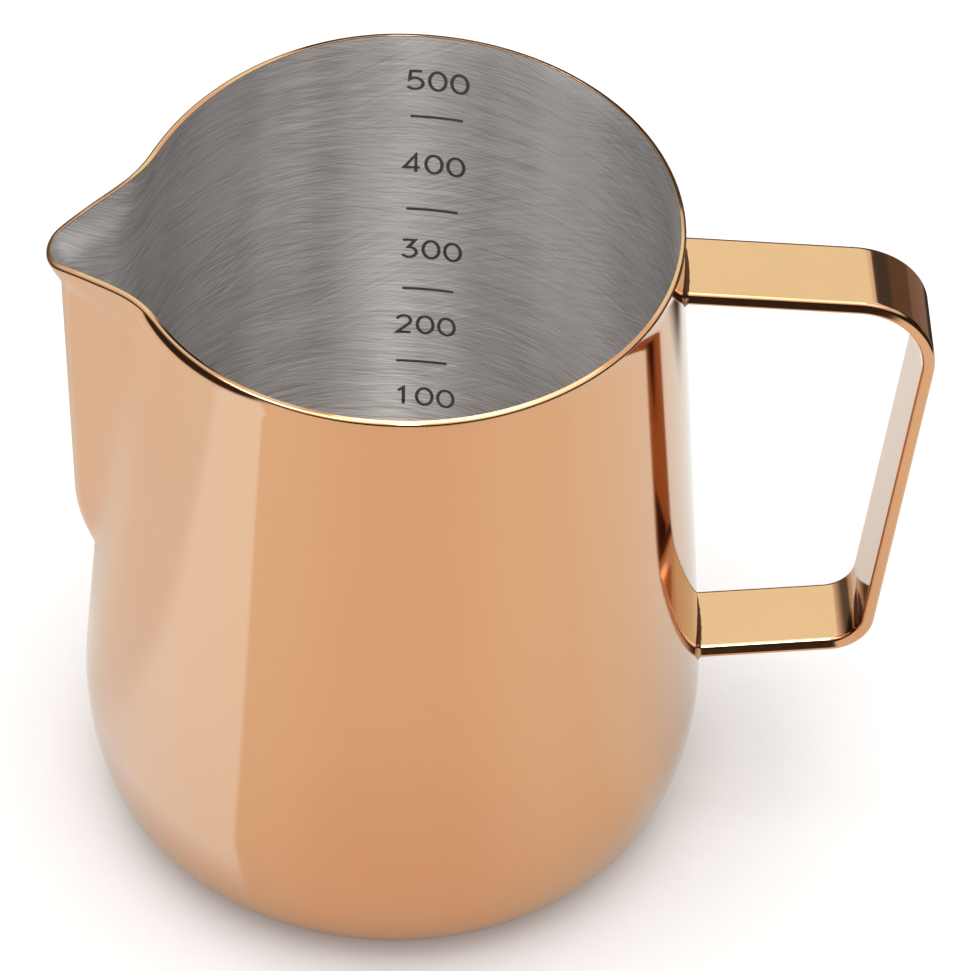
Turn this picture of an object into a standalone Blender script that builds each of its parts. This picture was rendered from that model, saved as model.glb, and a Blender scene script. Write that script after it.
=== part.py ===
"""A steel milk frothing jug: drawn body with a pressed spout, and a bent strip handle.

Metres, +Z up. The origin is the centre of the base, on the table. The spout points to -X, the
handle stands out to +X, and the jug is symmetric about the plane y = 0.
"""

import math

import bmesh
import bpy

# Body of revolution
HEIGHT = 0.108  # table to rim, at the handle
RIM_RADIUS = 0.0392  # outer radius at the rim
BELLY_RADIUS = 0.0450  # widest outer radius
BELLY_HEIGHT = 0.020  # height of the widest ring
BELLY_ARC = 0.0443  # radius of the arc that turns the belly into the straight taper
BASE_ARC = 0.011  # radius of the arc between the flat base and the belly
WALL = 0.0008  # sheet thickness
LIP_FLARE = 0.0004  # how far the rim turns out
LIP_DEPTH = 0.0035  # how far below the rim it starts to turn

# Spout
RIDGE_RADIUS = 0.0461  # distance of the spout's ridge from the axis, at RIDGE_FOOT
RIDGE_FOOT = 0.0575  # height where the straight ridge starts to curve back into the body
RIDGE_LEAN = math.radians(1.8)  # outward lean of the straight ridge
RIDGE_FOOT_ARC = 0.026  # radius of that curve
NOSE_RADIUS = 0.0054  # radius across the ridge
FLANK_LOW = math.radians(50)  # half angle between the flanks, along the ridge
FLANK_RIM = math.radians(38.5)  # half angle between the flanks, at the rim
FLANK_START = 0.080  # height where the flanks start to close
POUR_START = 0.098  # height where the pouring lip turns out
POUR_DEPTH = 0.0065  # height over which it turns out
POUR_REACH = 0.0021  # how far it turns out
VALLEY_BLEND = 0.0034  # width over which a flank blends into the body
SPOUT_TOP = 0.1035  # height of the pouring lip
RIM_DIP = 0.0034  # how far the rim drops towards the spout, in an even curve
TIP_DROOP = 0.0012  # how far it drops more, close to the tip
TIP_RADIUS = 0.0494  # distance of the tip from the axis
PINCH = 0.0014  # how far pressing the spout draws the rim in on either side of it
PINCH_DEPTH = 0.0025  # how far below the rim that starts

# Handle, on the centreline of the strip
STRIP_WIDTH = 0.0125
STRIP_THICKNESS = 0.0018
STRIP_EDGE = 0.0005  # rounding of the strip's edges
TOP_BEND = (0.0751, 0.0951)  # x and z of the two corners, before rounding
LOW_BEND = (0.0683, 0.0277)
TOP_BEND_RADIUS = 0.0116
LOW_BEND_RADIUS = 0.0058
TOP_ARM_RISE = math.radians(5.4)  # the top arm climbs towards the body
LOW_ARM_DROP = math.radians(3.9)  # the low arm falls towards the body

# Welds
GAP = 0.0003  # clearance between neighbouring solids
WELD_THICKNESS = 0.0007
WELD_MARGIN = 0.0005  # how far a weld stands out around the strip
WELD_EDGE = 0.0008  # rounding of its edges
WELD_BLOCK = 0.006  # length of the block that each weld is cut from

# Resolution: (first value, last value, steps) for each stretch
ARC_STEPS = 5  # of the base arc and of the belly arc
RING_HEIGHTS = ((0.033, 0.044, 2), (0.044, 0.0565, 5), (0.0565, 0.098, 5), (0.098, HEIGHT, 5))
RING_ANGLES = ((0.0, 32.5, 13), (32.5, 180.0, 21))  # degrees from the spout
CUTTER_SIDES = 120

COPPER_TONE = (0.72, 0.44, 0.29)
WELD_TONE = (0.46, 0.30, 0.21)


def clamp(value):
    return max(0.0, min(1.0, value))


def smooth_step(value):
    t = clamp(value)
    return t * t * (3 - 2 * t)


def spread(stretches):
    """Values along the given stretches, each divided into its own number of equal steps."""
    values = [stretches[0][0]]
    for first, last, steps in stretches:
        values += [first + (last - first) * step / steps for step in range(1, steps + 1)]
    return values


def smooth_max(a, b, width):
    """The larger of two values, blended with a continuous curvature where they are close."""
    nearness = max(width - abs(a - b), 0.0) / width
    return max(a, b) + nearness**3 * width / 6


# The profile: base arc, belly arc and straight taper, each tangent to the next.
BELLY_CENTRE = BELLY_RADIUS - BELLY_ARC
BASE_ARC_TURN = math.asin((BELLY_HEIGHT - BASE_ARC) / (BELLY_ARC - BASE_ARC))
BASE_RADIUS = BELLY_CENTRE + (BELLY_ARC - BASE_ARC) * math.cos(BASE_ARC_TURN)
TAPER_TOP = (RIM_RADIUS - LIP_FLARE - BELLY_CENTRE, HEIGHT - BELLY_HEIGHT)
TAPER = math.atan2(TAPER_TOP[1], TAPER_TOP[0]) - math.acos(BELLY_ARC / math.hypot(*TAPER_TOP))
TAPER_START = BELLY_HEIGHT + BELLY_ARC * math.sin(TAPER)


def wall_radius(z):
    """Outer radius of the straight taper, without the lip."""
    return RIM_RADIUS - LIP_FLARE + (HEIGHT - z) * math.tan(TAPER)


def profile():
    """(radius, height) pairs of the outer surface, from the edge of the flat base to the rim."""
    points = []
    for angle in spread([(-math.pi / 2, -BASE_ARC_TURN, ARC_STEPS)]):
        points.append((BASE_RADIUS + BASE_ARC * math.cos(angle), BASE_ARC * (1 + math.sin(angle))))
    for angle in spread([(-BASE_ARC_TURN, TAPER, ARC_STEPS)])[1:]:
        radius = BELLY_CENTRE + BELLY_ARC * math.cos(angle)
        points.append((radius, BELLY_HEIGHT + BELLY_ARC * math.sin(angle)))
    for z in spread(RING_HEIGHTS):
        lip = LIP_FLARE * clamp((z - HEIGHT + LIP_DEPTH) / LIP_DEPTH) ** 2
        points.append((wall_radius(z) + lip, z))
    return points


def ridge_radius(z):
    """Distance of the spout's ridge from the axis: straight, curved in below, turned out on top."""
    radius = RIDGE_RADIUS + (z - RIDGE_FOOT) * math.tan(RIDGE_LEAN)
    below = min(max(RIDGE_FOOT - z, 0.0), RIDGE_FOOT_ARC)
    radius -= RIDGE_FOOT_ARC - math.sqrt(RIDGE_FOOT_ARC**2 - below**2)
    return radius + POUR_REACH * smooth_step((z - POUR_START) / POUR_DEPTH)


def wedge_radius(angle, z):
    """Polar outline of the spout alone: a round nose between two flanks.

    A flank is a straight line up to its nearest point to the axis, and falls away after it.
    """
    closing = clamp((z - FLANK_START) / (SPOUT_TOP - FLANK_START))
    half = FLANK_LOW + (FLANK_RIM - FLANK_LOW) * closing**3
    centre = ridge_radius(z) - NOSE_RADIUS
    tangent = math.atan2(NOSE_RADIUS * math.cos(half), centre + NOSE_RADIUS * math.sin(half))
    if angle < tangent:
        return centre * math.cos(angle) + math.sqrt(NOSE_RADIUS**2 - (centre * math.sin(angle)) ** 2)
    nearest = centre * math.sin(half) + NOSE_RADIUS
    swing = angle + half
    if swing < math.pi / 2:
        return nearest / math.sin(swing)
    return nearest * math.sin(swing)


def rim_drop(x):
    """How far the rim lies below HEIGHT at a distance x from the axis towards the spout."""
    out = max(x, 0.0) / TIP_RADIUS
    return RIM_DIP * out**2 + TIP_DROOP * out**12


def rim_pinch(angle):
    """Share of PINCH at an angle from the spout: full beside the spout, gone on the jug's flanks."""
    degrees = math.degrees(angle)
    return smooth_step((degrees - 10) / 16) * (1 - smooth_step((degrees - 34) / 46))


def pressed_radius(angle, radius, z):
    """Radius of the turned body at a height z once the spout is pressed out of it."""
    if z < TAPER_START:
        return radius
    proud = max(ridge_radius(z) - radius, 0.0)
    blend = min(VALLEY_BLEND, 0.0003 + 0.8 * proud)
    return smooth_max(radius, wedge_radius(angle, z), blend)


def body_point(angle, radius, z):
    """Moves a point of the turned body to where the spout puts it. The angle is from -X."""
    near_rim = clamp((z - HEIGHT + PINCH_DEPTH) / PINCH_DEPTH)
    radius -= PINCH * rim_pinch(angle) * near_rim**2
    rim_x = pressed_radius(angle, radius, SPOUT_TOP) * math.cos(angle)
    z -= rim_drop(rim_x) * smooth_step((z - FLANK_START) / (HEIGHT - FLANK_START))
    radius = pressed_radius(angle, radius, z)
    return (-radius * math.cos(angle), radius * math.sin(angle), z)


def link(obj, collection, colour=None, roughness=0.2):
    """Puts an object in its collection, with a material of its own."""
    collection.objects.link(obj)
    if colour:
        material = bpy.data.materials.new(obj.name)
        material.use_nodes = True
        shader = material.node_tree.nodes["Principled BSDF"]
        shader.inputs["Base Color"].default_value = (*colour, 1)
        shader.inputs["Metallic"].default_value = 1.0
        shader.inputs["Roughness"].default_value = roughness
        obj.data.materials.append(material)
    return obj


def mesh_object(name, bm):
    mesh = bpy.data.meshes.new(name)
    bm.to_mesh(mesh)
    bm.free()
    mesh.shade_smooth()
    mesh.set_sharp_from_angle(angle=math.radians(35))
    return bpy.data.objects.new(name, mesh)


def add_solidify(obj, thickness, offset):
    solid = obj.modifiers.new("Sheet thickness", "SOLIDIFY")
    solid.thickness = thickness
    solid.offset = offset
    solid.use_even_offset = True


def add_bevel(obj, width, segments):
    bevel = obj.modifiers.new("Rounded edges", "BEVEL")
    bevel.width = width
    bevel.segments = segments
    bevel.limit_method = "ANGLE"
    bevel.angle_limit = math.radians(50)


def add_boolean(obj, operation, cutter):
    cut = obj.modifiers.new(operation.title(), "BOOLEAN")
    cut.operation = operation
    cut.solver = "EXACT"
    cut.object = cutter


def make_body(collection):
    """Half of the outer surface as a loft, mirrored at y = 0 and thickened inwards."""
    bm = bmesh.new()
    angles = [math.radians(degrees) for degrees in spread(RING_ANGLES)]
    centre = bm.verts.new((0, 0, 0))
    rows = [[bm.verts.new(body_point(angle, r, z)) for angle in angles] for r, z in profile()]
    for here, there in zip(rows[0], rows[0][1:]):
        bm.faces.new((centre, here, there))
    for lower, upper in zip(rows, rows[1:]):
        for i in range(len(angles) - 1):
            bm.faces.new((lower[i], upper[i], upper[i + 1], lower[i + 1]))
    body = link(mesh_object("jug_body", bm), collection, COPPER_TONE, 0.08)
    mirror = body.modifiers.new("Other half", "MIRROR")
    mirror.use_axis = (False, True, False)
    mirror.merge_threshold = 0.0001
    add_solidify(body, WALL, -1.0)
    return body


def round_corner(before, corner, after, radius, steps):
    """Points of an arc of the given radius that replaces a corner."""
    def unit(a, b):
        length = math.dist(a, b)
        return ((b[0] - a[0]) / length, (b[1] - a[1]) / length)
    into, out = unit(before, corner), unit(corner, after)
    turn = math.acos(into[0] * out[0] + into[1] * out[1])
    side = math.copysign(1.0, into[0] * out[1] - into[1] * out[0])
    reach = radius * math.tan(turn / 2)
    start = (corner[0] - into[0] * reach, corner[1] - into[1] * reach)
    middle = (start[0] - side * into[1] * radius, start[1] + side * into[0] * radius)
    arm = (start[0] - middle[0], start[1] - middle[1])
    points = []
    for a in spread([(0.0, side * turn, steps)]):
        x = arm[0] * math.cos(a) - arm[1] * math.sin(a)
        z = arm[0] * math.sin(a) + arm[1] * math.cos(a)
        points.append((middle[0] + x, middle[1] + z))
    return points


def arm_height(bend, slope, x):
    """Height of an arm's centreline at a distance x from the jug's axis."""
    return bend[1] + (bend[0] - x) * math.tan(slope)


def handle_line():
    """Centreline of the strip, from inside the body wall at the top round to the bottom."""
    inside = wall_radius(HEIGHT) - STRIP_WIDTH / 2
    top = (inside, arm_height(TOP_BEND, TOP_ARM_RISE, inside))
    low = (inside, arm_height(LOW_BEND, -LOW_ARM_DROP, inside))
    line = [top]
    line += round_corner(top, TOP_BEND, LOW_BEND, TOP_BEND_RADIUS, 10)
    line += round_corner(TOP_BEND, LOW_BEND, low, LOW_BEND_RADIUS, 8)
    line.append(low)
    return line


def make_wall_cutter(name, clearance, collection):
    """A plain cone that follows the outside of the body wall at the given distance."""
    bottom, top = -0.01, HEIGHT + 0.01
    bm = bmesh.new()
    bmesh.ops.create_cone(
        bm,
        cap_ends=True,
        segments=CUTTER_SIDES,
        radius1=wall_radius(bottom) + clearance,
        radius2=wall_radius(top) + clearance,
        depth=top - bottom,
    )
    bmesh.ops.translate(bm, verts=bm.verts, vec=(0, 0, (top + bottom) / 2))
    cutter = link(mesh_object(name, bm), collection)
    cutter.hide_render = True
    cutter.display_type = "WIRE"
    return cutter


def make_handle(collection, cutter):
    """A flat strip bent twice, with rounded edges, cut to the curve of the body at both ends."""
    bm = bmesh.new()
    line = handle_line()
    sides = [[bm.verts.new((x, y, z)) for x, z in line] for y in (-STRIP_WIDTH / 2, STRIP_WIDTH / 2)]
    for i in range(len(line) - 1):
        bm.faces.new((sides[0][i], sides[0][i + 1], sides[1][i + 1], sides[1][i]))
    handle = link(mesh_object("handle", bm), collection, COPPER_TONE, 0.08)
    add_solidify(handle, STRIP_THICKNESS, 0.0)
    add_bevel(handle, STRIP_EDGE, 2)
    add_boolean(handle, "DIFFERENCE", cutter)
    return handle


def make_weld(name, bend, slope, outer, inner, collection):
    """The fused metal between the body wall and one end of the strip."""
    x = wall_radius(bend[1]) + WELD_THICKNESS / 2
    bm = bmesh.new()
    bmesh.ops.create_cube(bm, size=1.0)
    width = STRIP_WIDTH + 2 * WELD_MARGIN
    height = STRIP_THICKNESS + 2 * WELD_MARGIN
    bmesh.ops.scale(bm, verts=bm.verts, vec=(WELD_BLOCK, width, height))
    weld = link(mesh_object(name, bm), collection, WELD_TONE, 0.3)
    weld.location = (x, 0, arm_height(bend, slope, x))
    weld.rotation_euler = (0, slope, 0)
    add_bevel(weld, WELD_EDGE, 2)
    add_boolean(weld, "INTERSECT", outer)
    add_boolean(weld, "DIFFERENCE", inner)
    return weld


def main():
    for obj in list(bpy.data.objects):
        bpy.data.objects.remove(obj, do_unlink=True)
    parts = bpy.data.collections.new("frothing_jug")
    cutters = bpy.data.collections.new("cutters")
    for collection in (parts, cutters):
        bpy.context.scene.collection.children.link(collection)
    inner = make_wall_cutter("wall_at_weld_root", GAP, cutters)
    outer = make_wall_cutter("wall_at_weld_face", GAP + WELD_THICKNESS, cutters)
    strip_end = make_wall_cutter("wall_at_strip_end", WELD_THICKNESS + 2 * GAP, cutters)
    make_body(parts)
    make_handle(parts, strip_end)
    make_weld("upper_handle_weld", TOP_BEND, TOP_ARM_RISE, outer, inner, parts)
    make_weld("lower_handle_weld", LOW_BEND, -LOW_ARM_DROP, outer, inner, parts)


main()
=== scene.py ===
import math

import bpy
import numpy as np
from mathutils import Matrix, Vector


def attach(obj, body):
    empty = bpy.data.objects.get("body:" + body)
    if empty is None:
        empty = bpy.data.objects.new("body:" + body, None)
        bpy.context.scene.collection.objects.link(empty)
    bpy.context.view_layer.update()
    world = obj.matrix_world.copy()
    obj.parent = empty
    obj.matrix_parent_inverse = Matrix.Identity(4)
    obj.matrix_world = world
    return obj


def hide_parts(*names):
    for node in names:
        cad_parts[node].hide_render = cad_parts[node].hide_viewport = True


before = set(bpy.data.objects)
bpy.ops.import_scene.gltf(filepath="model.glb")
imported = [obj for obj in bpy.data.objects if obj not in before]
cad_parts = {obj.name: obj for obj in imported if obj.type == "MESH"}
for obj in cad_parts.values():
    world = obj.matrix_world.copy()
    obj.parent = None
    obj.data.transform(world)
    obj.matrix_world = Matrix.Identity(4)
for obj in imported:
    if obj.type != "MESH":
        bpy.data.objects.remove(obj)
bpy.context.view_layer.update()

# A milk frothing jug: a spouted steel body with a rose-gold outside and a brushed inside, a flat
# strip handle and a scale of volume marks. Metres, +Z up, spout to -X, handle to +X.

# ---------------------------------------------------------------- the CAD model's dimensions
HEIGHT = 0.108
RIM_RADIUS = 0.0392
BELLY_RADIUS = 0.0450
BELLY_HEIGHT = 0.020
BELLY_ARC = 0.0443
BASE_ARC = 0.011
WALL = 0.0008
LIP_FLARE = 0.0004
LIP_DEPTH = 0.0035

RIDGE_RADIUS = 0.0461
RIDGE_FOOT = 0.0575
RIDGE_LEAN = math.radians(1.8)
RIDGE_FOOT_ARC = 0.026
NOSE_RADIUS = 0.0054
FLANK_LOW = math.radians(50)
FLANK_RIM = math.radians(38.5)
FLANK_START = 0.080
POUR_START = 0.098
POUR_DEPTH = 0.0065
POUR_REACH = 0.0021
VALLEY_BLEND = 0.0034
SPOUT_TOP = 0.1035
RIM_DIP = 0.0034
TIP_DROOP = 0.0012
TIP_RADIUS = 0.0494
PINCH_DEPTH = 0.0025

STRIP_WIDTH = 0.0125
STRIP_THICKNESS = 0.0018
TOP_BEND = (0.0751, 0.0951)
LOW_BEND = (0.0683, 0.0277)
TOP_BEND_RADIUS = 0.0116
LOW_BEND_RADIUS = 0.0058
TOP_ARM_RISE = math.radians(5.4)
LOW_ARM_DROP = math.radians(3.9)

BELLY_CENTRE = BELLY_RADIUS - BELLY_ARC
BASE_ARC_TURN = math.asin((BELLY_HEIGHT - BASE_ARC) / (BELLY_ARC - BASE_ARC))
BASE_RADIUS = BELLY_CENTRE + (BELLY_ARC - BASE_ARC) * math.cos(BASE_ARC_TURN)
TAPER_TOP = (RIM_RADIUS - LIP_FLARE - BELLY_CENTRE, HEIGHT - BELLY_HEIGHT)
TAPER = math.atan2(TAPER_TOP[1], TAPER_TOP[0]) - math.acos(BELLY_ARC / math.hypot(*TAPER_TOP))
TAPER_START = BELLY_HEIGHT + BELLY_ARC * math.sin(TAPER)

# ---------------------------------------------------------------- details of the visual model
PINCH = 0.0008  # how far the rim is drawn in beside the spout: less than in the CAD model
LIP_TOP = 0.00038  # the rim is cut flat and leans outwards, with an eased corner on each side
LIP_LEAN = math.radians(10)
LIP_OUTER_CORNER = 0.00044
LIP_INNER_CORNER = 0.00005
SKIN = 0.0004  # thickness of the coated outer layer; the bare inner layer fills the rest
SKIRT = 0.0002  # how far the coated layer reaches down inside the rim
SEAM = 0.00003  # gap between the two layers
EDGE_BEVEL = (0.0004, 0.0007)  # how far the upper and lower arms' edges lean in at the top
EDGE_RADIUS = 0.00065  # of the strip's corners on the side that looks up
LOWER_EDGE_RADIUS = 0.0003  # of those on the side that looks down
WELD_SIZE = 0.00055
STANDOFF = 0.00003  # clearance between strip and wall, hidden in the weld
MARK_DEPTH = 0.00004  # how far a volume mark reaches into the wall, and stands out of it

DOME = 1.12  # radiance of the white surroundings


def smooth(value):
    t = np.clip(value, 0.0, 1.0)
    return t * t * (3 - 2 * t)


def spread(stretches):
    """Values along the given stretches, each divided into its own number of equal steps."""
    values = [stretches[0][0]]
    for first, last, steps in stretches:
        values += [first + (last - first) * step / steps for step in range(1, steps + 1)]
    return np.array(values)


def between(a, b, shares):
    """Points of a plane at the given shares of the way from a to b."""
    return [(a[0] + (b[0] - a[0]) * share, a[1] + (b[1] - a[1]) * share) for share in shares]


def divided(path, longest):
    """A path's points with more between them, so that no step is longer than given."""
    points = [path[0]]
    for a, b in zip(path, path[1:]):
        steps = max(1, math.ceil(math.dist(a, b) / longest))
        points += between(a, b, [k / steps for k in range(1, steps + 1)])
    return points


def smooth_max(a, b, width):
    """The larger of two values, blended where they differ by less than the width."""
    nearness = np.maximum(width - np.abs(a - b), 0.0) / width
    return np.maximum(a, b) + nearness**3 * width / 6


def wall_radius(z):
    """Outer radius of the straight taper."""
    return RIM_RADIUS - LIP_FLARE + (HEIGHT - z) * math.tan(TAPER)


def profile_radius(z):
    """Outer radius of the turned body on its taper, with the lip."""
    return wall_radius(z) + LIP_FLARE * np.clip((z - HEIGHT + LIP_DEPTH) / LIP_DEPTH, 0, 1) ** 2


def ridge_radius(z):
    """How far the spout's ridge stands from the axis."""
    radius = RIDGE_RADIUS + (z - RIDGE_FOOT) * math.tan(RIDGE_LEAN)
    below = np.clip(RIDGE_FOOT - z, 0.0, RIDGE_FOOT_ARC)
    radius = radius - (RIDGE_FOOT_ARC - np.sqrt(RIDGE_FOOT_ARC**2 - below**2))
    return radius + POUR_REACH * smooth((z - POUR_START) / POUR_DEPTH)


def wedge_radius(angle, z):
    """Radius of the pressed spout alone: a round nose between two flat flanks."""
    closing = np.clip((z - FLANK_START) / (SPOUT_TOP - FLANK_START), 0, 1)
    half = FLANK_LOW + (FLANK_RIM - FLANK_LOW) * closing**3
    centre = ridge_radius(z) - NOSE_RADIUS
    tangent = np.arctan2(NOSE_RADIUS * np.cos(half), centre + NOSE_RADIUS * np.sin(half))
    inside = np.maximum(NOSE_RADIUS**2 - (centre * np.sin(angle)) ** 2, 0.0)
    nose = centre * np.cos(angle) + np.sqrt(inside)
    nearest = centre * np.sin(half) + NOSE_RADIUS
    swing = angle + half
    straight = nearest / np.sin(np.minimum(swing, 2.9))
    flank = np.where(swing < math.pi / 2, straight, nearest * np.sin(swing))
    return np.where(angle < tangent, nose, flank)


def pressed_radius(angle, radius, z):
    """The turned body's radius where it is larger than the spout's, with a soft valley between."""
    proud = np.maximum(ridge_radius(z) - radius, 0.0)
    blend = np.minimum(VALLEY_BLEND, 0.0003 + 0.8 * proud)
    pressed = smooth_max(radius, wedge_radius(angle, z), blend)
    return np.where(z < TAPER_START, radius, pressed)


def body_point(angle, radius, z):
    """Outer surface of the body. The angle is from -X, and runs all the way round."""
    side = np.abs(np.where(angle > math.pi, angle - 2 * math.pi, angle))
    degrees = np.degrees(side)
    # the rim is drawn in on both sides of the spout, most between 26 and 30 degrees from it
    pinch = smooth((degrees - 10) / 16) * (1 - smooth((degrees - 30) / 62))
    radius = radius - PINCH * pinch * np.clip((z - HEIGHT + PINCH_DEPTH) / PINCH_DEPTH, 0, 1) ** 2
    rim_x = pressed_radius(side, radius, np.full_like(z, SPOUT_TOP)) * np.cos(side)
    out = np.maximum(rim_x, 0.0) / TIP_RADIUS
    drop = RIM_DIP * out**2 + TIP_DROOP * out**12
    z = z - drop * smooth((z - FLANK_START) / (HEIGHT - FLANK_START))
    radius = pressed_radius(side, radius, z)
    return np.stack([-radius * np.cos(angle), -radius * np.sin(angle), z], axis=-1)


def profile_rows():
    """(radius, height) of the outer surface, from near the middle of the base to the rim."""
    rows = [(BASE_RADIUS * share, 0.0) for share in (0.12, 0.3, 0.5, 0.7, 0.85, 0.94, 0.98)]
    for angle in spread([(-math.pi / 2, -BASE_ARC_TURN, 12)]):
        rows.append((BASE_RADIUS + BASE_ARC * math.cos(angle), BASE_ARC * (1 + math.sin(angle))))
    for angle in spread([(-BASE_ARC_TURN, TAPER, 14)])[1:]:
        height = BELLY_HEIGHT + BELLY_ARC * math.sin(angle)
        rows.append((BELLY_CENTRE + BELLY_ARC * math.cos(angle), height))
    top = HEIGHT - LIP_TOP
    stretches = [(TAPER_START, 0.060, 20), (0.060, 0.096, 24), (0.096, 0.104, 14), (0.104, top, 12)]
    for z in spread(stretches)[1:]:
        rows.append((float(profile_radius(z)), float(z)))
    return np.array(rows)


RING = np.radians(spread([(0, 14, 24), (14, 50, 36), (50, 130, 40), (130, 180, 20)]))
RING = np.concatenate([RING, 2 * math.pi - RING[-2:0:-1]])


def surface(rows, angles):
    """Points, outward normals and upward directions of the body's outer surface."""
    radius, z = rows[:, :1] * np.ones_like(angles), rows[:, 1:] * np.ones_like(angles)
    angle = np.ones_like(radius) * angles
    points = body_point(angle, radius, z)
    step = 1e-4
    around = body_point(angle + step, radius, z) - body_point(angle - step, radius, z)
    ends = np.vstack([2 * rows[0] - rows[1], rows, 2 * rows[-1] - rows[-2]])
    slope = ends[2:] - ends[:-2]
    slope /= np.linalg.norm(slope, axis=1, keepdims=True)
    move = slope * 2e-5
    up = body_point(angle, radius + move[:, :1], z + move[:, 1:])
    up = up - body_point(angle, radius - move[:, :1], z - move[:, 1:])
    normals = np.cross(around, up)
    normals /= np.linalg.norm(normals, axis=-1, keepdims=True)
    outward = np.sign((normals * (points - [0, 0, 0.05])).sum(-1).mean())
    up /= np.linalg.norm(up, axis=-1, keepdims=True)
    return points, normals * outward, up


def new_object(name, vertices, faces, material, auto_sharp=40):
    mesh = bpy.data.meshes.new(name)
    mesh.from_pydata([tuple(v) for v in np.asarray(vertices).tolist()], [], faces)
    mesh.validate()
    mesh.shade_smooth()
    if auto_sharp:
        mesh.set_sharp_from_angle(angle=math.radians(auto_sharp))
    mesh.materials.append(material)
    obj = bpy.data.objects.new(name, mesh)
    bpy.context.scene.collection.objects.link(obj)
    return obj


def stack_rings(rings, first_pole=None, last_pole=None):
    """A surface through rings of equal length, closed at an end where a pole is given."""
    count = len(rings[0])
    vertices = np.concatenate(rings)
    faces = []
    for row in range(len(rings) - 1):
        a, b = row * count, (row + 1) * count
        for i in range(count):
            j = (i + 1) % count
            faces.append((a + i, a + j, b + j, b + i))
    last = (len(rings) - 1) * count
    if first_pole is not None:
        faces += [(len(vertices), (i + 1) % count, i) for i in range(count)]
        vertices = np.concatenate([vertices, [first_pole]])
    if last_pole is not None:
        faces += [(len(vertices), last + i, last + (i + 1) % count) for i in range(count)]
        vertices = np.concatenate([vertices, [last_pole]])
    return vertices, faces


# ---------------------------------------------------------------- materials
class Nodes:
    """A short way to write a node tree."""

    def __init__(self, name):
        self.material = bpy.data.materials.new(name)
        self.material.use_nodes = True
        self.tree = self.material.node_tree
        self.shader = self.tree.nodes["Principled BSDF"]

    def add(self, kind, settings=None, **inputs):
        """A new node. Its inputs are named, or numbered as i0, i1 and so on."""
        node = self.tree.nodes.new(kind)
        for key, value in (settings or {}).items():
            setattr(node, key, value)
        for key, value in inputs.items():
            numbered = key[0] == "i" and key[1:].isdigit()
            self.set(node.inputs[int(key[1:]) if numbered else key.replace("_", " ")], value)
        return node

    def set(self, socket, value):
        if isinstance(value, bpy.types.NodeSocket):
            self.tree.links.new(value, socket)
        else:
            socket.default_value = value

    def math(self, operation, a, b=0.0, c=0.0):
        node = self.add("ShaderNodeMath", {"operation": operation}, i0=a, i1=b, i2=c)
        return node.outputs[0]

    def combine(self, x, y, z=0.0):
        return self.add("ShaderNodeCombineXYZ", X=x, Y=y, Z=z).outputs[0]

    def noise(self, vector, scale, detail=2.0, roughness=0.5):
        inputs = {"Vector": vector, "Scale": scale, "Detail": detail, "Roughness": roughness}
        return self.add("ShaderNodeTexNoise", **inputs).outputs[0]

    def map(self, value, low, high, to_low, to_high, kind="LINEAR"):
        ends = {"i1": low, "i2": high, "i3": to_low, "i4": to_high}
        node = self.add("ShaderNodeMapRange", {"interpolation_type": kind}, i0=value, **ends)
        return node.outputs[0]

    def step(self, value, low, high, to_low, to_high):
        return self.map(value, low, high, to_low, to_high, "SMOOTHSTEP")

    def mix_colour(self, factor, a, b):
        node = self.add("ShaderNodeMix", {"data_type": "RGBA"})
        self.set(node.inputs[0], factor)
        self.set(node.inputs[6], a)
        self.set(node.inputs[7], b)
        return node.outputs[2]

    def bump(self, height, strength, distance):
        node = self.add("ShaderNodeBump", Strength=strength, Distance=distance, Height=height)
        return node.outputs[0]

    def place(self):
        """The object coordinates, which are the world's: every object here stays at the origin."""
        return self.add("ShaderNodeTexCoord").outputs["Object"]

    def split(self):
        return self.add("ShaderNodeSeparateXYZ", Vector=self.place()).outputs

    def dress(self, colour, roughness, normal=None, metallic=1.0):
        """The material, with these on its shader."""
        self.set(self.shader.inputs["Base Color"], colour)
        self.set(self.shader.inputs["Roughness"], roughness)
        if normal is not None:
            self.set(self.shader.inputs["Normal"], normal)
        self.shader.inputs["Metallic"].default_value = metallic
        return self.material

    def emission(self, colour, strength):
        return self.add("ShaderNodeEmission", Color=colour, Strength=strength).outputs[0]

    def show(self, shader):
        """The material, with this shader in place of the usual one."""
        self.tree.links.new(shader, self.tree.nodes["Material Output"].inputs["Surface"])
        return self.material


def rose_gold():
    """A polished coating, with faint clouds and finer polishing lines round the jug."""
    n = Nodes("rose_gold_polish")
    place = n.place()
    cloud = n.noise(place, 45.0, 3.0)
    squeeze = (90.0, 90.0, 2600.0)  # thin in height, long sideways
    squeezed = n.add("ShaderNodeVectorMath", {"operation": "MULTIPLY"}, i0=place, i1=squeeze)
    lines = n.noise(squeezed.outputs[0], 1.0, 2.0)
    uneven = n.math("ADD", cloud, n.math("MULTIPLY", lines, 0.4))
    n.shader.inputs["Specular Tint"].default_value = (0.92, 0.97, 1.0, 1)
    return n.dress(
        n.mix_colour(cloud, (0.63, 0.342, 0.185, 1), (0.61, 0.328, 0.175, 1)),
        n.map(uneven, 0.4, 1.0, 0.06, 0.10),
        n.bump(lines, 0.02, 0.00002),
    )


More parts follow.
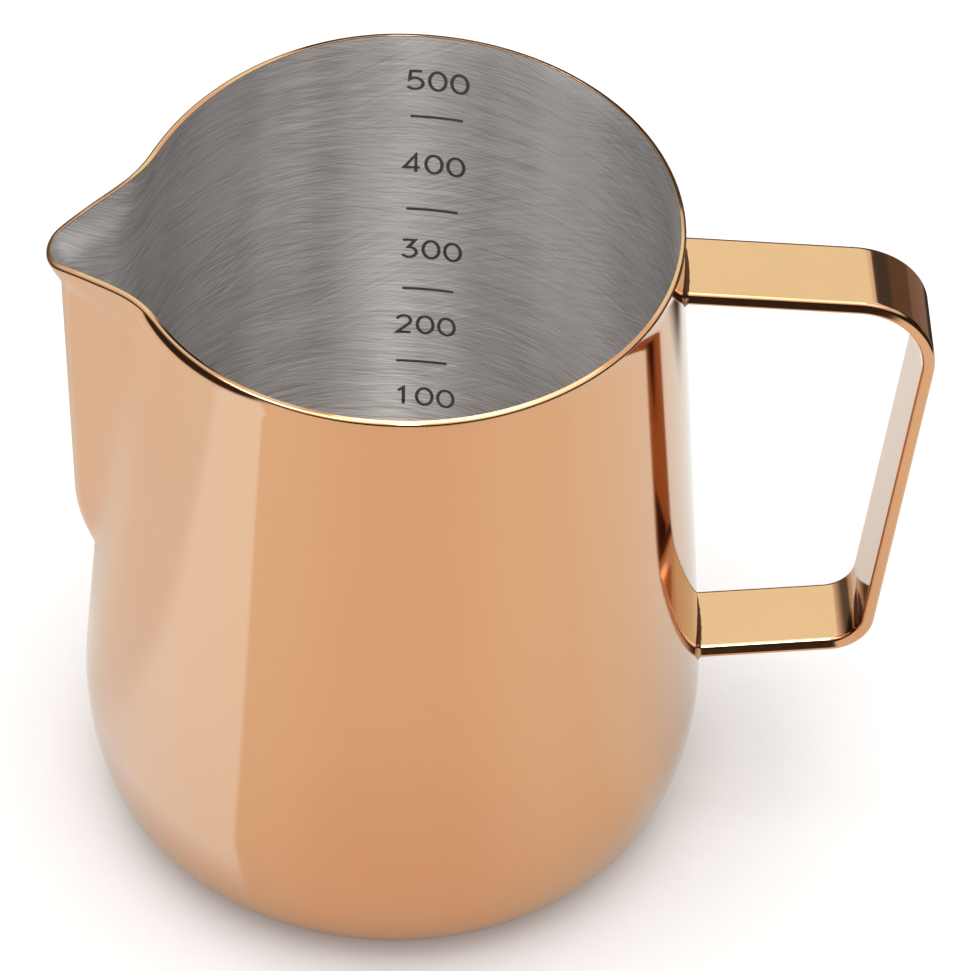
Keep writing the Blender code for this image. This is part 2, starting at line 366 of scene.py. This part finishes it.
def brushed_steel():
    """Bare steel, brushed round the axis with patches of scratches that cross at a slant."""
    n = Nodes("brushed_steel")
    place = n.place()
    x, y, z = n.add("ShaderNodeSeparateXYZ", Vector=place).outputs
    radius = n.math("SQRT", n.math("ADD", n.math("MULTIPLY", x, x), n.math("MULTIPLY", y, y)))
    around = n.math("MULTIPLY", n.math("ARCTAN2", y, x), 0.038)  # metres round a mean radius
    along = n.math("SUBTRACT", z, radius)

    def streaks(tilt, length, width):
        """Noise drawn out into scratches at a tilt to the horizontal, sizes in metres."""
        c, s = math.cos(math.radians(tilt)), math.sin(math.radians(tilt))
        u = n.math("MULTIPLY_ADD", around, c / length, n.math("MULTIPLY", along, s / length))
        v = n.math("MULTIPLY_ADD", around, -s / width, n.math("MULTIPLY", along, c / width))
        return n.noise(n.combine(u, v, math.radians(tilt) * 7), 1.0, 3.0, 0.6)

    main = streaks(0.0, 0.016, 0.00022)
    second = streaks(3, 0.011, 0.00035)
    falling = streaks(-30, 0.008, 0.0003)
    rising = streaks(16.5, 0.009, 0.00028)
    patches = n.map(n.noise(place, 38.0, 2.0), 0.42, 0.6, 0.0, 1.0)
    crossing = n.mix_colour(patches, falling, rising)
    blend = n.math("ADD", n.math("MULTIPLY", main, 0.4), n.math("MULTIPLY", second, 0.22))
    blend = n.math("ADD", blend, n.math("MULTIPLY", crossing, 0.38))
    upright = n.combine(n.math("MULTIPLY", around, 95.0), n.math("MULTIPLY", along, 7.0))
    blend = n.math("ADD", blend, n.map(n.noise(upright, 1.0, 1.0), 0.3, 0.7, -0.04, 0.04))
    tone = n.map(blend, 0.40, 0.60, 0.0, 1.0)
    tangent = n.add("ShaderNodeTangent", {"direction_type": "RADIAL", "axis": "Z"}).outputs[0]
    n.set(n.shader.inputs["Tangent"], tangent)
    n.shader.inputs["Anisotropic"].default_value = 0.88
    n.shader.inputs["Anisotropic Rotation"].default_value = 0.25
    return n.dress(
        n.mix_colour(tone, (0.35, 0.33, 0.317, 1), (0.83, 0.797, 0.775, 1)),
        n.map(tone, 0.0, 1.0, 0.54, 0.40),
        n.bump(blend, 0.7, 0.00006),
    )


def weld_metal():
    n = Nodes("weld_bead")
    grain = n.noise(n.place(), 1800.0, 4.0)
    colour = n.mix_colour(grain, (0.42, 0.22, 0.11, 1), (0.56, 0.31, 0.165, 1))
    return n.dress(colour, n.map(grain, 0.3, 0.7, 0.16, 0.26), n.bump(grain, 0.15, 0.00003))


def etched():
    n = Nodes("etched_mark")
    grain = n.noise(n.place(), 2500.0, 3.0)
    colour = n.mix_colour(grain, (0.08, 0.075, 0.073, 1), (0.15, 0.14, 0.135, 1))
    return n.dress(colour, n.map(grain, 0.3, 0.7, 0.45, 0.65), metallic=0.5)


def pale_floor():
    n = Nodes("pale_floor")
    grain = n.noise(n.place(), 400.0, 2.0)
    n.shader.inputs["Specular IOR Level"].default_value = 0.1
    colour = n.mix_colour(grain, (0.86, 0.86, 0.86, 1), (0.88, 0.88, 0.88, 1))
    return n.dress(colour, 0.9, metallic=0.0)


# ---------------------------------------------------------------- the body, in two layers
def make_body(gold, steel):
    """The coated outer layer, whose lip wraps over the rim, and the bare layer inside it."""
    points, normals, up = surface(profile_rows(), RING)
    edge, edge_normal, edge_up = points[-1], normals[-1], up[-1]
    rise = WALL / 2 * math.tan(LIP_LEAN)
    corners = [(0, 0), (0, LIP_TOP - rise), (-WALL, LIP_TOP + rise), (-WALL, 0)]
    outer_corner = round_corner(*corners[:3], LIP_OUTER_CORNER, 9)
    inner_corner = round_corner(*corners[1:], LIP_INNER_CORNER, 6)
    flat = between(outer_corner[-1], inner_corner[0], (0.08, 0.5, 0.92))
    section = outer_corner + flat + inner_corner
    lip = [edge + out * edge_normal + high * edge_up for out, high in section]

    skirt = edge - WALL * edge_normal + (LIP_TOP + rise - SKIRT) * edge_up
    step = skirt + (WALL - SKIN) * edge_normal
    middle = (points - SKIN * normals)[:-3]  # stops short of the skirt
    rings = list(points) + lip + [skirt, step] + list(middle[::-1])
    vertices, faces = stack_rings(rings, (0, 0, 0), (0, 0, SKIN))
    outer = new_object("outer_shell", vertices, faces, gold)

    inner = (points - WALL * normals)[:-3]
    top = skirt - SEAM * edge_up
    cap = [top, top + (WALL - SKIN - SEAM) * edge_normal]
    middle = (points - (SKIN + SEAM) * normals)[:-4]
    rings = list(inner) + cap + list(middle[::-1])
    vertices, faces = stack_rings(rings, (0, 0, WALL), (0, 0, SKIN + SEAM))
    return outer, new_object("inner_shell", vertices, faces, steel)


# ---------------------------------------------------------------- the handle
def round_corner(before, corner, after, radius, steps):
    """The arc that rounds a corner of a path in a plane."""

    def unit(a, b):
        length = math.dist(a, b)
        return ((b[0] - a[0]) / length, (b[1] - a[1]) / length)

    into, out = unit(before, corner), unit(corner, after)
    turn = math.acos(into[0] * out[0] + into[1] * out[1])
    side = math.copysign(1.0, into[0] * out[1] - into[1] * out[0])
    reach = radius * math.tan(turn / 2)
    start = (corner[0] - into[0] * reach, corner[1] - into[1] * reach)
    centre = (start[0] - side * into[1] * radius, start[1] + side * into[0] * radius)
    arm = (start[0] - centre[0], start[1] - centre[1])
    points = []
    for a in spread([(0.0, side * turn, steps)]):
        x = arm[0] * math.cos(a) - arm[1] * math.sin(a)
        z = arm[0] * math.sin(a) + arm[1] * math.cos(a)
        points.append((centre[0] + x, centre[1] + z))
    return points


def arm_height(bend, slope, x):
    """Height at x of the arm's middle line, which slopes to a bend."""
    return bend[1] + (bend[0] - x) * math.tan(slope)


def strip_section(half_width, half_thickness, upward=0.0):
    """Outline of the strip: (across, out of the face) pairs round a rectangle with soft corners.

    Upward is how far the strip's outer face looks up: 1 on the upper arm, -1 on the lower one."""
    w, t = half_width, half_thickness
    outer, inner = EDGE_BEVEL[0] * max(upward, 0.0), EDGE_BEVEL[1] * max(-upward, 0.0)
    corners = [(w - outer, t), (outer - w, t), (inner - w, -t), (w - inner, -t)]
    share = (upward + 1) / 2
    soft = LOWER_EDGE_RADIUS + (EDGE_RADIUS - LOWER_EDGE_RADIUS) * share
    hard = EDGE_RADIUS + (LOWER_EDGE_RADIUS - EDGE_RADIUS) * share
    rounded = []
    for k, radius in enumerate((soft, soft, hard, hard)):
        rounded.append(round_corner(corners[k - 1], corners[k], corners[(k + 1) % 4], radius, 6))
    outline = []
    for k in range(4):  # points close to each corner keep the flat sides between them flat
        a, b = rounded[k][-1], rounded[(k + 1) % 4][0]
        shares = (0.02, 0.25, 0.5, 0.75, 0.98) if k % 2 == 0 else (0.1, 0.5, 0.9)
        outline += rounded[k] + between(a, b, shares)
    return outline


def meet_wall(point, direction, clearance):
    """Moves a point along a direction in the plane y = const until it meets the body wall."""
    x, y, z = point
    for _ in range(30):
        target = math.sqrt((float(profile_radius(np.float64(z))) + clearance) ** 2 - y**2)
        z += (target - x) * direction[1] / direction[0]
        x = target
    return (x, y, z)


def make_handle(gold):
    top = (RIM_RADIUS, arm_height(TOP_BEND, TOP_ARM_RISE, RIM_RADIUS))
    low_x = RIM_RADIUS + 0.004
    low = (low_x, arm_height(LOW_BEND, -LOW_ARM_DROP, low_x))
    line = [top]
    line += round_corner(top, TOP_BEND, LOW_BEND, TOP_BEND_RADIUS, 26)
    line += round_corner(TOP_BEND, LOW_BEND, low, LOW_BEND_RADIUS, 20)
    line = divided(line + [low], 0.003)
    last = len(line) - 1
    rings = []
    for i, (x, z) in enumerate(line):
        a, b = line[max(i - 1, 0)], line[min(i + 1, last)]
        length = math.dist(a, b)
        tx, tz = (b[0] - a[0]) / length, (b[1] - a[1]) / length
        section = strip_section(STRIP_WIDTH / 2, STRIP_THICKNESS / 2, tx)
        ring = [(x - tz * out, across, z + tx * out) for across, out in section]
        if i in (0, last):
            ring = [meet_wall(p, (tx, tz), STANDOFF) for p in ring]
        rings.append(np.array(ring))
    vertices, faces = stack_rings(rings)
    count = len(rings[0])
    faces.append(tuple(range(count))[::-1])
    faces.append(tuple(range(len(vertices) - count, len(vertices))))
    return new_object("handle_strip", vertices, faces, gold, 30)


def weld_section(reach):
    """(out from the strip, along it) pairs of a hollow fillet, whose ends sink into the metal."""
    steps, bulge = 7, 0.78
    section = []
    for k in range(steps + 1):
        a = math.radians(90 * k / steps)
        out = reach * (1 - math.sin(a)) ** bulge if k < steps else 0.0
        high = reach * (1 - math.cos(a)) ** bulge if k > 0 else -0.00008
        section.append((out, high))
    return section + [(-0.00012, -0.0001)]


def make_weld(name, bend, slope, upward, metal):
    """A fillet bead round the end of the strip, on the wall."""
    direction = (math.cos(slope), -math.sin(slope))
    outline = strip_section(STRIP_WIDTH / 2, STRIP_THICKNESS / 2, upward)
    if upward < 0:  # seen along the lower arm the section is the other way up
        outline = [(across, -out) for across, out in outline][::-1]
    outline = divided(outline + outline[:1], 0.0003)[:-1]
    centre = np.array([RIM_RADIUS, 0, arm_height(bend, slope, RIM_RADIUS)])
    along = np.array([direction[0], 0, direction[1]])
    across = np.array([0, 1.0, 0])
    face_up = np.cross(along, across)
    count = len(outline)
    rings = []
    for i, (w, t) in enumerate(outline):
        before, after = outline[i - 1], outline[(i + 1) % count]
        out = np.array([after[1] - before[1], before[0] - after[0]])
        out /= np.linalg.norm(out)
        wave = 1 + 0.04 * math.sin(i * 0.9) + 0.02 * math.sin(i * 1.63 + 1)
        ring = []
        for reach, high in weld_section(WELD_SIZE * wave):
            base = centre + across * (w + reach * out[0]) + face_up * (t + reach * out[1])
            ring.append(np.array(meet_wall(base, direction, 0.0)) + along * high)
        rings.append(np.array(ring))
    vertices, faces = stack_rings(rings + rings[:1])
    size = len(rings[0])
    wrap = count * size  # the first ring again, where the bead closes
    faces = [tuple(v % wrap for v in face) for face in faces]
    return new_object(name, vertices[:wrap], faces, metal, 50)


# ---------------------------------------------------------------- the volume marks
def arc(cx, cy, rx, ry, start, end, steps=18):
    return [
        (cx + rx * math.cos(math.radians(a)), cy + ry * math.sin(math.radians(a)))
        for a in spread([(start, end, steps)])
    ]


def digit_strokes(digit):
    """Centrelines of a digit's strokes in a box 1 wide and 1 high."""
    if digit == "0":
        return [(arc(0.5, 0.5, 0.5, 0.5, 90, 450, 48), True)]
    if digit == "1":
        return [([(0.16, 0.80), (0.52, 1.0), (0.52, 0.0)], False)]
    if digit == "2":
        bow = arc(0.5, 0.70, 0.43, 0.30, 165, -38, 20)
        return [(bow + [(0.10, 0.0), (0.97, 0.0)], False)]
    if digit == "3":
        low = arc(0.48, 0.29, 0.46, 0.29, 88, -152, 24)
        return [([(0.08, 1.0), (0.86, 1.0), (0.44, 0.58)] + low, False)]
    if digit == "4":
        main = [(0.74, 0.0), (0.74, 1.0), (0.02, 0.27), (0.66, 0.27)]
        return [(main, False), ([(0.82, 0.27), (1.0, 0.27)], False)]
    bow = arc(0.46, 0.31, 0.50, 0.31, 112, -148, 26)
    return [([(0.90, 1.0), (0.20, 1.0), (0.14, 0.53)] + bow, False)]


def ribbon(path, closed, width):
    """(left, right) points of a stroke of constant width along a path, with mitred corners."""
    pts = [np.array(p) for p in (path[:-1] if closed else path)]
    count = len(pts)
    sides = []
    for i, p in enumerate(pts):
        before = pts[i - 1] if closed or i else None
        after = pts[(i + 1) % count] if closed or i < count - 1 else None
        into = (p - before) / np.linalg.norm(p - before) if before is not None else None
        out = (after - p) / np.linalg.norm(after - p) if after is not None else None
        into = out if into is None else into
        out = into if out is None else out
        bisector = into + out
        bisector /= np.linalg.norm(bisector)
        stretch = 1 / max(0.35, float(np.dot(bisector, into)))
        side = np.array([-bisector[1], bisector[0]]) * width / 2 * stretch
        sides.append((p + side, p - side))
    return sides


def on_inner_wall(azimuth, z, lift):
    """A point on the body's inner wall, seen from the axis at an azimuth from +X."""
    angle = np.array([[math.pi + azimuth]])
    radius = np.array([[float(profile_radius(np.float64(z)))]])
    point = body_point(angle, radius, np.array([[z]]))[0, 0]
    inwards = -np.array([math.cos(azimuth), math.sin(azimuth), math.sin(TAPER)])
    inwards /= np.linalg.norm(inwards)
    return point + inwards * (WALL + lift)


NUMERAL_SIZE = (0.00235, 0.0037)  # width and height of a digit between the middles of its strokes
NUMERAL_PITCH = 0.0032
STROKE = 0.0005
LINE_SIZE = (0.0076, 0.00050)
MARKS = {  # azimuth in degrees and height of the numeral, then of the line under it
    "500": (80.4, 0.0995, 80.5, 0.09195),
    "400": (80.9, 0.0820, 81.1, 0.07225),
    "300": (81.2, 0.0636, 81.7, 0.05485),
    "200": (82.1, 0.0469, 82.7, 0.03855),
    "100": (82.0, 0.0306, 82.4, 0.02275),
}


def make_marks(material):
    vertices, faces = [], []

    def lay(sides, closed, azimuth, height):
        """Adds one stroke as a thin closed solid that follows the wall."""
        start = len(vertices)
        around = float(profile_radius(np.float64(height))) - WALL
        for left, right in sides:
            for lift in (MARK_DEPTH, -MARK_DEPTH):
                for p in (left, right):
                    place = math.radians(azimuth) - p[0] / around
                    vertices.append(on_inner_wall(place, height + p[1], lift))
        count = len(sides)
        spans = count if closed else count - 1
        for i in range(spans):
            a, b = start + 4 * i, start + 4 * ((i + 1) % count)
            for k, m in ((0, 1), (1, 3), (3, 2), (2, 0)):
                faces.append((a + k, a + m, b + m, b + k))
        if not closed:
            end = start + 4 * (count - 1)
            faces.append((start, start + 2, start + 3, start + 1))
            faces.append((end, end + 1, end + 3, end + 2))

    for text, (azimuth, height, line_azimuth, line_height) in MARKS.items():
        for place, digit in enumerate(text):
            wide, tall = NUMERAL_SIZE
            left = (place - 1) * NUMERAL_PITCH - wide / 2
            for path, closed in digit_strokes(digit):
                scaled = [(left + x * wide, (y - 0.5) * tall) for x, y in path]
                lay(ribbon(scaled, closed, STROKE), closed, azimuth, height)
        ends = [(LINE_SIZE[0] * (k / 12 - 0.5), 0.0) for k in range(13)]
        lay(ribbon(ends, False, LINE_SIZE[1]), False, line_azimuth, line_height)
    return new_object("volume_marks", np.array(vertices), faces, material, 30)


# ---------------------------------------------------------------- studio
def add_area(name, location, target, size, radiance, colour=(1, 1, 1)):
    data = bpy.data.lights.new(name, "AREA")
    data.shape = "RECTANGLE"
    data.size, data.size_y = size
    data.energy = radiance * math.pi * size[0] * size[1]  # watts for that radiance
    data.color = colour
    light = bpy.data.objects.new(name, data)
    bpy.context.scene.collection.objects.link(light)
    light.location = location
    direction = Vector(target) - Vector(location)
    light.rotation_euler = direction.to_track_quat("-Z", "Y").to_euler()
    return light


def make_camera():
    """A long lens that looks down at the jug from the front."""
    data = bpy.data.cameras.new("photo_view")
    data.sensor_width = 36
    data.sensor_fit = "AUTO"
    data.lens = 259.52626
    data.shift_x, data.shift_y = 0.01237899, -0.0069104
    data.clip_start, data.clip_end = 0.05, 20
    camera = bpy.data.objects.new("photo_view", data)
    bpy.context.scene.collection.objects.link(camera)
    distance, target = 1.0022, Vector((0.01084, -0.000742, 0.05792))
    swing, tilt, roll = math.radians(-3.915), math.radians(45.851), math.radians(2.056)
    right = Vector((math.cos(swing), math.sin(swing), 0))
    level = Vector((-math.sin(swing), math.cos(swing), 0))
    forward = level * math.cos(tilt) - Vector((0, 0, math.sin(tilt)))
    above = right.cross(forward)
    x_axis = right * math.cos(roll) + above * math.sin(roll)
    y_axis = above * math.cos(roll) - right * math.sin(roll)
    turn = Matrix((x_axis, y_axis, -forward)).transposed().to_4x4()
    camera.matrix_world = Matrix.Translation(target - forward * distance) @ turn
    bpy.context.scene.camera = camera


def glossy_only(obj):
    """Seen in reflections, like a studio flag or panel, and nowhere else."""
    obj.visible_camera = False
    obj.visible_diffuse = False
    obj.visible_transmission = False
    obj.visible_volume_scatter = False
    obj.visible_shadow = False


def stage_piece(name, vertices, faces, material):
    piece = new_object(name, vertices, faces, material, None)
    return piece


def level_square(half, z):
    return [(-half, -half, z), (half, -half, z), (half, half, z), (-half, half, z)]


def make_flag():
    """A dark wall round the set, open above, that the polished metal mirrors low down."""
    radius, sides = 2.0, 96
    turns = [2 * math.pi * k / sides for k in range(sides)]
    rings = []
    for z in (0.0, 0.4, 0.8, 1.1, 1.5, 1.9):
        rings.append([(radius * math.cos(a), radius * math.sin(a), z) for a in turns])
    n = Nodes("dark_wall")
    x, _, z = n.split()
    right = n.step(x, 0.5, 1.0, 0.0, 1.0)  # the top is lower there, and softer on the left
    left = n.step(x, -1.0, -0.6, 1.0, 0.0)
    start = n.math("MULTIPLY_ADD", right, -0.36, n.math("MULTIPLY_ADD", left, -0.45, 1.05))
    end = n.math("MULTIPLY_ADD", right, -0.36, n.math("MULTIPLY_ADD", left, 0.35, 1.48))
    least = n.math("MULTIPLY_ADD", left, 0.12, 0.03)
    wall = n.show(n.emission((1, 1, 1, 1), n.step(z, start, end, least, DOME)))
    glossy_only(stage_piece("dark_wall", *stack_rings(rings), wall))


def make_card():
    """A card behind the handle on the right, dark above and warm below."""
    bearing, distance, width, top = math.radians(49), 1.0, 0.62, 0.69
    middle = distance * np.array([math.cos(bearing), math.sin(bearing), 0])
    side = width / 2 * np.array([-math.sin(bearing), math.cos(bearing), 0])
    n = Nodes("dark_card")
    z = n.split()[2]
    warm, dark = (0.17, 0.13, 0.105, 1), (0.09, 0.09, 0.09, 1)
    card = n.show(n.emission(n.mix_colour(n.step(z, 0.36, 0.43, 0.0, 1.0), warm, dark), 1.0))
    high = np.array([0, 0, top])
    corners = [middle - side, middle + side, middle + side + high, middle - side + high]
    glossy_only(stage_piece("dark_card", corners, [(0, 1, 2, 3)], card))


def painted_reflection_tint(n, x, y, bearing, reach, far):
    """Painted shade and bounce light in the mirrored floor: warm in front, clear on the right,
    duller at the back left, dark far out and right behind.
    """
    deg = math.radians
    near, wide = (0.872, 0.80, 0.74, 1), (0.895, 0.865, 0.80, 1)
    tint = n.mix_colour(n.step(reach, 0.07, 0.115, 0.0, 1.0), near, wide)
    tint = n.mix_colour(n.step(reach, 0.045, 0.075, 0.0, 1.0), (0.95, 0.88, 0.81, 1), tint)
    off = n.step(n.math("ABSOLUTE", bearing), deg(10), deg(42), 0.0, 0.85)
    tint = n.mix_colour(off, tint, (0.945, 0.955, 0.91, 1))
    tint = n.mix_colour(n.step(bearing, deg(54), deg(66), 0.0, 1.0), tint, (0.94, 1.0, 1.0, 1))
    left = n.step(bearing, deg(-140), deg(-108), 1.0, 0.0)
    tint = n.mix_colour(left, tint, (0.66, 0.59, 0.49, 1))
    back = n.step(n.math("ABSOLUTE", bearing), deg(100), deg(125), 0.0, 1.0)
    # far out, the mirrored floor is painted dark, less so behind
    outside = n.mix_colour(back, (0.04, 0.03, 0.025, 1), (0.40, 0.34, 0.30, 1))
    tint = n.mix_colour(far, tint, outside)
    # painted shade in the mirrored floor right behind the handle, darker further out
    behind = n.math("MULTIPLY", n.step(x, 0.085, 0.105, 0.0, 1.0), n.step(y, 0.06, 0.08, 0.0, 1.0))
    further = n.step(reach, 0.17, 0.21, 0.0, 1.0)
    painted_shade_patch = n.mix_colour(further, (0.04, 0.03, 0.025, 1), (0.25, 0.19, 0.16, 1))
    return n.mix_colour(behind, tint, painted_shade_patch)


def film_glow(n, x, y, bearing, reach, far):
    """The colour and strength of a cool glow on the left. Its edge is a line through a point."""
    heading = math.radians(58.5)  # of the line, from the front to the left
    c, s = math.cos(heading), math.sin(heading)
    from_edge = n.math("MULTIPLY_ADD", x, -c, n.math("MULTIPLY", y, s))
    from_edge = n.math("ADD", from_edge, -0.0255 * c + 0.0382 * s)
    strength = n.step(from_edge, -0.001, 0.001, 0.0, 1.0)
    for fade in (
        n.math("SUBTRACT", 1.0, far),
        n.step(bearing, math.radians(-112), math.radians(-70), 0.0, 1.0),
        n.step(bearing, math.radians(-25), math.radians(-5), 1.0, 0.0),
        n.step(reach, 0.044, 0.060, 0.0, 1.0),
    ):
        strength = n.math("MULTIPLY", strength, fade)
    further = n.step(from_edge, 0.048, 0.062, 0.0, 1.0)
    return n.mix_colour(further, (0.12, 0.37, 0.70, 1), (0.0, 0.16, 0.38, 1)), strength


def make_film():
    """A film just over the floor that only reflections see. It tints the mirrored floor with
    painted shade and warm bounce light, and glows on the left as a painted reflection.
    """
    n = Nodes("painted_reflection_film")
    x, y, _ = n.split()
    bearing = n.math("ARCTAN2", x, n.math("MULTIPLY", y, -1.0))  # from the front, to the right
    reach = n.math("SQRT", n.math("ADD", n.math("MULTIPLY", x, x), n.math("MULTIPLY", y, y)))
    far = n.step(reach, 0.20, 0.24, 0.0, 1.0)
    tint = painted_reflection_tint(n, x, y, bearing, reach, far)
    clear = n.add("ShaderNodeBsdfTransparent", Color=tint).outputs[0]
    glow = n.emission(*film_glow(n, x, y, bearing, reach, far))
    both = n.add("ShaderNodeAddShader")
    n.tree.links.new(clear, both.inputs[0])
    n.tree.links.new(glow, both.inputs[1])
    film = n.show(both.outputs[0])
    glossy_only(stage_piece("painted_reflection_film", level_square(1.9, 0.0004), [(0, 1, 2, 3)], film))


HIGH_PANELS = (  # name, bearing from +X and height in degrees, size, radiance
    ("front_panel", -90, 60, (0.2, 0.7), 22.0),
    ("front_left_panel", -134, 58, (0.4, 0.6), 1.5),
    ("left_high_panel", -176, 56, (0.4, 0.6), 14.0),
    ("right_high_panel", -25, 56, (1.1, 0.6), 1.2),
    ("rim_panel", 90, 78, (0.9, 0.4), 2.2),
)


def make_high_panels():
    """Panels that only the metal sees, well out from the jug's middle and aimed at it."""
    middle, distance = Vector((0, 0, 0.08)), 1.6
    for name, bearing, height, size, radiance in HIGH_PANELS:
        turn, climb = math.radians(bearing), math.radians(height)
        level = Vector((math.cos(turn), math.sin(turn), 0)) * math.cos(climb)
        out = level + Vector((0, 0, math.sin(climb)))
        glossy_only(add_area(name, middle + out * distance, middle, size, radiance))


def make_stage():
    stage_piece("floor", level_square(3.0, 0.0), [(0, 1, 2, 3)], pale_floor())
    world = bpy.data.worlds.new("studio")
    bpy.context.scene.world = world
    world.use_nodes = True
    background = world.node_tree.nodes["Background"]
    background.inputs["Color"].default_value = (1, 1, 1, 1)
    background.inputs["Strength"].default_value = DOME
    make_flag()
    make_card()
    make_film()
    add_area("overhead", (0.0, 0.0, 1.5), (0, 0, 0.05), (1.3, 1.3), 1.6)
    cool = (0.38, 1.0, 0.79)
    glossy_only(add_area("back_panel", (0.15, 1.45, 1.6), (0, 0, 0.1), (2.2, 0.66), 0.47, cool))
    make_high_panels()
    bpy.context.scene.view_settings.view_transform = "Standard"


make_camera()
make_stage()
gold = rose_gold()
steel = brushed_steel()
outer_shell, inner_shell = make_body(gold, steel)
handle = make_handle(gold)
weld = weld_metal()
upper_weld = make_weld("upper_weld_bead", TOP_BEND, TOP_ARM_RISE, 1, weld)
lower_weld = make_weld("lower_weld_bead", LOW_BEND, -LOW_ARM_DROP, -1, weld)
marks = make_marks(etched())

for piece, node, slot in (
    (outer_shell, "jug_body", "outer_finish"),
    (inner_shell, "jug_body", "inner_steel"),
    (marks, None, "etched_marks"),
    (handle, "handle", "outer_finish"),
    (upper_weld, "upper_handle_weld", "weld_seam"),
    (lower_weld, "lower_handle_weld", "weld_seam"),
):
    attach(piece, "root")
    if node:
        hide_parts(node)
